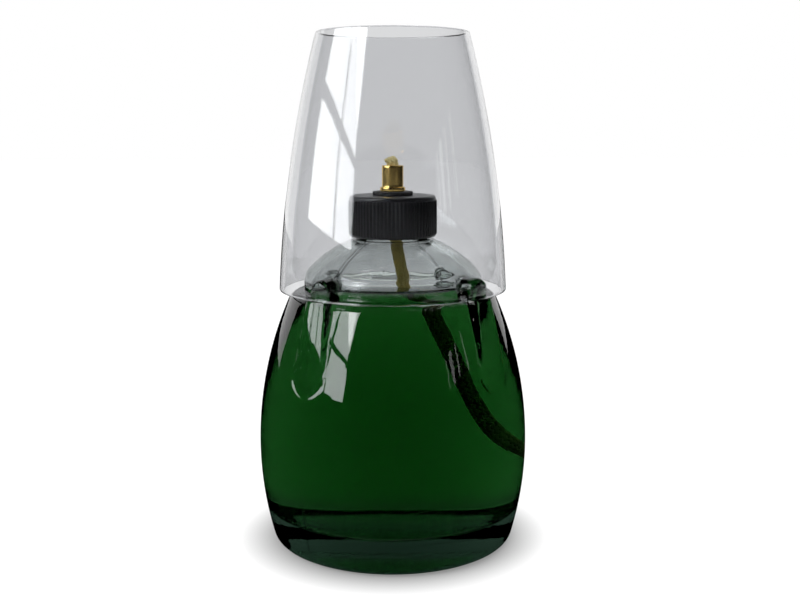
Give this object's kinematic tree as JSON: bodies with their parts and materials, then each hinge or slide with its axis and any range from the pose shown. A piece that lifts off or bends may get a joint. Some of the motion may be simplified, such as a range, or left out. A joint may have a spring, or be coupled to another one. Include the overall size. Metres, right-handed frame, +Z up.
{
  "type": "oil lamp",
  "caption": "Oil lamp with a clear barrel bottle of green lamp oil, a ribbed screw cap with a brass wick tube, a round wick and a loose tapered glass chimney on moulded lugs.",
  "frame": {"origin": "on the table, at the middle of the bottle's base", "axes": "+Z up along the axis of the bottle, cap and chimney; -Y is the front that the picture shows; the four lugs are at 45 degrees to X and Y"},
  "size_m": [0.0934, 0.0934, 0.1744],
  "materials": {
    "bottle_glass": "clear moulded glass",
    "green_oil": "clear dark green liquid",
    "cap_plastic": "satin black moulded plastic",
    "liner_foam": "white foam",
    "washer_rubber": "black rubber",
    "burner_brass": "turned bright brass",
    "nut_brass": "plain turned brass",
    "wick_cotton": "braided cotton soaked with oil",
    "chimney_glass": "thin clear glass"
  },
  "bodies": {
    "bottle": {"bottle": "bottle_glass", "lamp_oil": "green_oil"},
    "cap_seal": {"cap_liner": "liner_foam"},
    "cap": {"screw_cap": "cap_plastic", "top_washer": "washer_rubber", "burner_tube": "burner_brass", "lock_nut": "nut_brass"},
    "wick": {"wick": "wick_cotton"},
    "chimney": {"chimney": "chimney_glass"}
  },
  "joints": [
    {"name": "chimney_lift", "type": "slide", "parent": "bottle", "child": "chimney", "axis": [0, 0, 1], "range_m": [0, 0.06]},
    {"name": "cap_rise", "type": "slide", "parent": "bottle", "child": "cap_seal", "axis": [0, 0, 1], "range_m": [0, 0.0038], "deforming": ["lamp_oil"]},
    {"name": "cap_turn", "type": "hinge", "parent": "cap_seal", "child": "cap", "pos_m": [0, 0, 0.112], "axis": [0, 0, 1], "range_deg": [0, 450], "deforming": ["lamp_oil"]},
    {"name": "wick_feed", "type": "slide", "parent": "cap", "child": "wick", "axis": [0, 0, 1], "range_m": [-0.002, 0.004], "deforming": ["lamp_oil"]}
  ],
  "couplings": [
    {"joint": "cap_rise", "follows": "cap_turn", "m_per_rad": 0.00047746}
  ]
}
